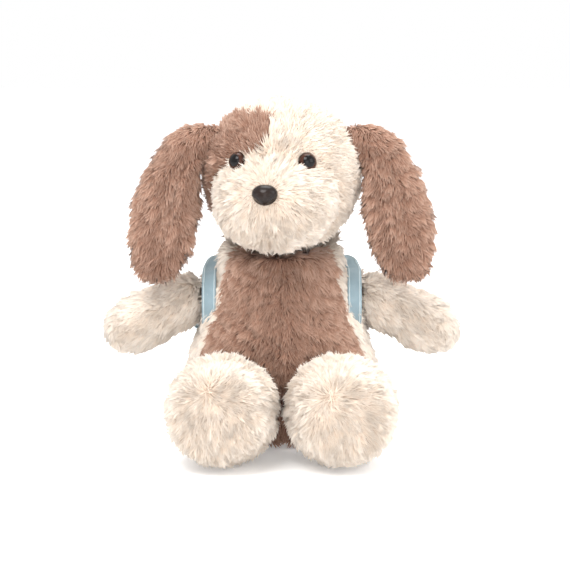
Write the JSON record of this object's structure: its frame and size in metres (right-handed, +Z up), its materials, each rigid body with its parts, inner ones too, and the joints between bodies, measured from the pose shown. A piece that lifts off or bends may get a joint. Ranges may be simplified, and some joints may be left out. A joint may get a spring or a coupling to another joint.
{
  "type": "plush dog",
  "caption": "Sitting stuffed dog with floppy ears, a pillow muzzle, sewn limbs that move and a small rucksack on its back.",
  "frame": {"origin": "centre of the flat seat, at the level that the dog sits on", "axes": "+Z up, the dog faces -Y, its own left side is +X"},
  "size_m": [0.2272, 0.206, 0.2165],
  "materials": {
    "brown_pile": "matte",
    "cream_pile": "matte",
    "seat_cloth": "matte",
    "fibre_fill": "matte",
    "pellet_bag": "matte",
    "eye_plastic": "gloss",
    "washer_plastic": "matte",
    "strap_webbing": "matte",
    "pack_cloth": "matte",
    "hook_tape": "matte"
  },
  "bodies": {
    "torso": {"tummy_panel_left": "brown_pile", "tummy_panel_right": "brown_pile", "side_panel_left": "cream_pile", "side_panel_right": "cream_pile", "seat_panel": "seat_cloth", "torso_filling": "fibre_fill", "seat_pellet_bag": "pellet_bag", "rucksack_pouch": "pack_cloth", "pouch_loop_patch": "hook_tape", "left_shoulder_strap": "strap_webbing", "right_shoulder_strap": "strap_webbing"},
    "neck": {"neck_filling": "fibre_fill"},
    "head": {"face_patch_panel": "brown_pile", "forehead_panel": "cream_pile", "back_head_panel_left": "cream_pile", "back_head_panel_right": "cream_pile", "muzzle_panel": "cream_pile", "head_filling": "fibre_fill", "left_eye": "eye_plastic", "right_eye": "eye_plastic", "nose": "eye_plastic", "left_eye_washer": "washer_plastic", "right_eye_washer": "washer_plastic", "nose_washer": "washer_plastic"},
    "tail": {"tail_panel_left": "cream_pile", "tail_panel_right": "cream_pile", "tail_filling": "fibre_fill"},
    "flap": {"rucksack_flap": "pack_cloth", "flap_hook_patch": "hook_tape"},
    "left_ear": {"left_ear_outer": "brown_pile", "left_ear_lining": "brown_pile"},
    "left_arm_root": {"left_arm_root_filling": "fibre_fill"},
    "left_arm": {"left_arm_upper_panel": "cream_pile", "left_arm_lower_panel": "cream_pile", "left_arm_filling": "fibre_fill"},
    "left_leg_root": {"left_leg_root_filling": "fibre_fill"},
    "left_leg": {"left_leg_upper_panel": "cream_pile", "left_leg_lower_panel": "cream_pile", "left_leg_sole_panel": "cream_pile", "left_leg_filling": "fibre_fill"},
    "right_ear": {"right_ear_outer": "brown_pile", "right_ear_lining": "brown_pile"},
    "right_arm_root": {"right_arm_root_filling": "fibre_fill"},
    "right_arm": {"right_arm_upper_panel": "cream_pile", "right_arm_lower_panel": "cream_pile", "right_arm_filling": "fibre_fill"},
    "right_leg_root": {"right_leg_root_filling": "fibre_fill"},
    "right_leg": {"right_leg_upper_panel": "cream_pile", "right_leg_lower_panel": "cream_pile", "right_leg_sole_panel": "cream_pile", "right_leg_filling": "fibre_fill"}
  },
  "joints": [
    {"name": "head_turn", "type": "hinge", "parent": "torso", "child": "neck", "pos_m": [0, -0.002, 0.167], "axis": [0, 0, 1], "range_deg": [-20, 20], "stiffness_Nm_per_rad": 0.25},
    {"name": "head_nod", "type": "hinge", "parent": "neck", "child": "head", "pos_m": [0, -0.002, 0.167], "axis": [-1, 0, 0], "range_deg": [0, 15], "stiffness_Nm_per_rad": 0.4},
    {"name": "left_ear_lift", "type": "hinge", "parent": "head", "child": "left_ear", "pos_m": [0.049, -0.006, 0.197], "axis": [0, -1, 0], "range_deg": [0, 95]},
    {"name": "left_arm_swing", "type": "hinge", "parent": "torso", "child": "left_arm_root", "pos_m": [0.061, 0.004, 0.087], "axis": [0, 0, -1], "range_deg": [0, 24], "stiffness_Nm_per_rad": 0.08},
    {"name": "left_arm_raise", "type": "hinge", "parent": "left_arm_root", "child": "left_arm", "pos_m": [0.061, 0.004, 0.087], "axis": [0, -1, 0], "range_deg": [-14, 42], "stiffness_Nm_per_rad": 0.08},
    {"name": "left_leg_spread", "type": "hinge", "parent": "torso", "child": "left_leg_root", "pos_m": [0.03, -0.043, 0.031], "axis": [0, 0, 1], "range_deg": [0, 20], "stiffness_Nm_per_rad": 0.15},
    {"name": "left_leg_lift", "type": "hinge", "parent": "left_leg_root", "child": "left_leg", "pos_m": [0.03, -0.043, 0.031], "axis": [-1, 0, 0], "range_deg": [0, 8], "stiffness_Nm_per_rad": 0.15},
    {"name": "right_ear_lift", "type": "hinge", "parent": "head", "child": "right_ear", "pos_m": [-0.049, -0.006, 0.197], "axis": [0, 1, 0], "range_deg": [0, 95]},
    {"name": "right_arm_swing", "type": "hinge", "parent": "torso", "child": "right_arm_root", "pos_m": [-0.061, 0.004, 0.087], "axis": [0, 0, 1], "range_deg": [0, 24], "stiffness_Nm_per_rad": 0.08},
    {"name": "right_arm_raise", "type": "hinge", "parent": "right_arm_root", "child": "right_arm", "pos_m": [-0.061, 0.004, 0.087], "axis": [0, 1, 0], "range_deg": [-14, 42], "stiffness_Nm_per_rad": 0.08},
    {"name": "right_leg_spread", "type": "hinge", "parent": "torso", "child": "right_leg_root", "pos_m": [-0.03, -0.043, 0.031], "axis": [0, 0, -1], "range_deg": [0, 20], "stiffness_Nm_per_rad": 0.15},
    {"name": "right_leg_lift", "type": "hinge", "parent": "right_leg_root", "child": "right_leg", "pos_m": [-0.03, -0.043, 0.031], "axis": [-1, 0, 0], "range_deg": [0, 8], "stiffness_Nm_per_rad": 0.15},
    {"name": "tail_wag", "type": "hinge", "parent": "torso", "child": "tail", "pos_m": [0, 0.0503, 0.024], "axis": [0, 0, 1], "range_deg": [-25, 25], "stiffness_Nm_per_rad": 0.02},
    {"name": "flap_open", "type": "hinge", "parent": "torso", "child": "flap", "pos_m": [0, 0.0328, 0.10819], "axis": [1, 0, 0], "range_deg": [0, 70]}
  ]
}
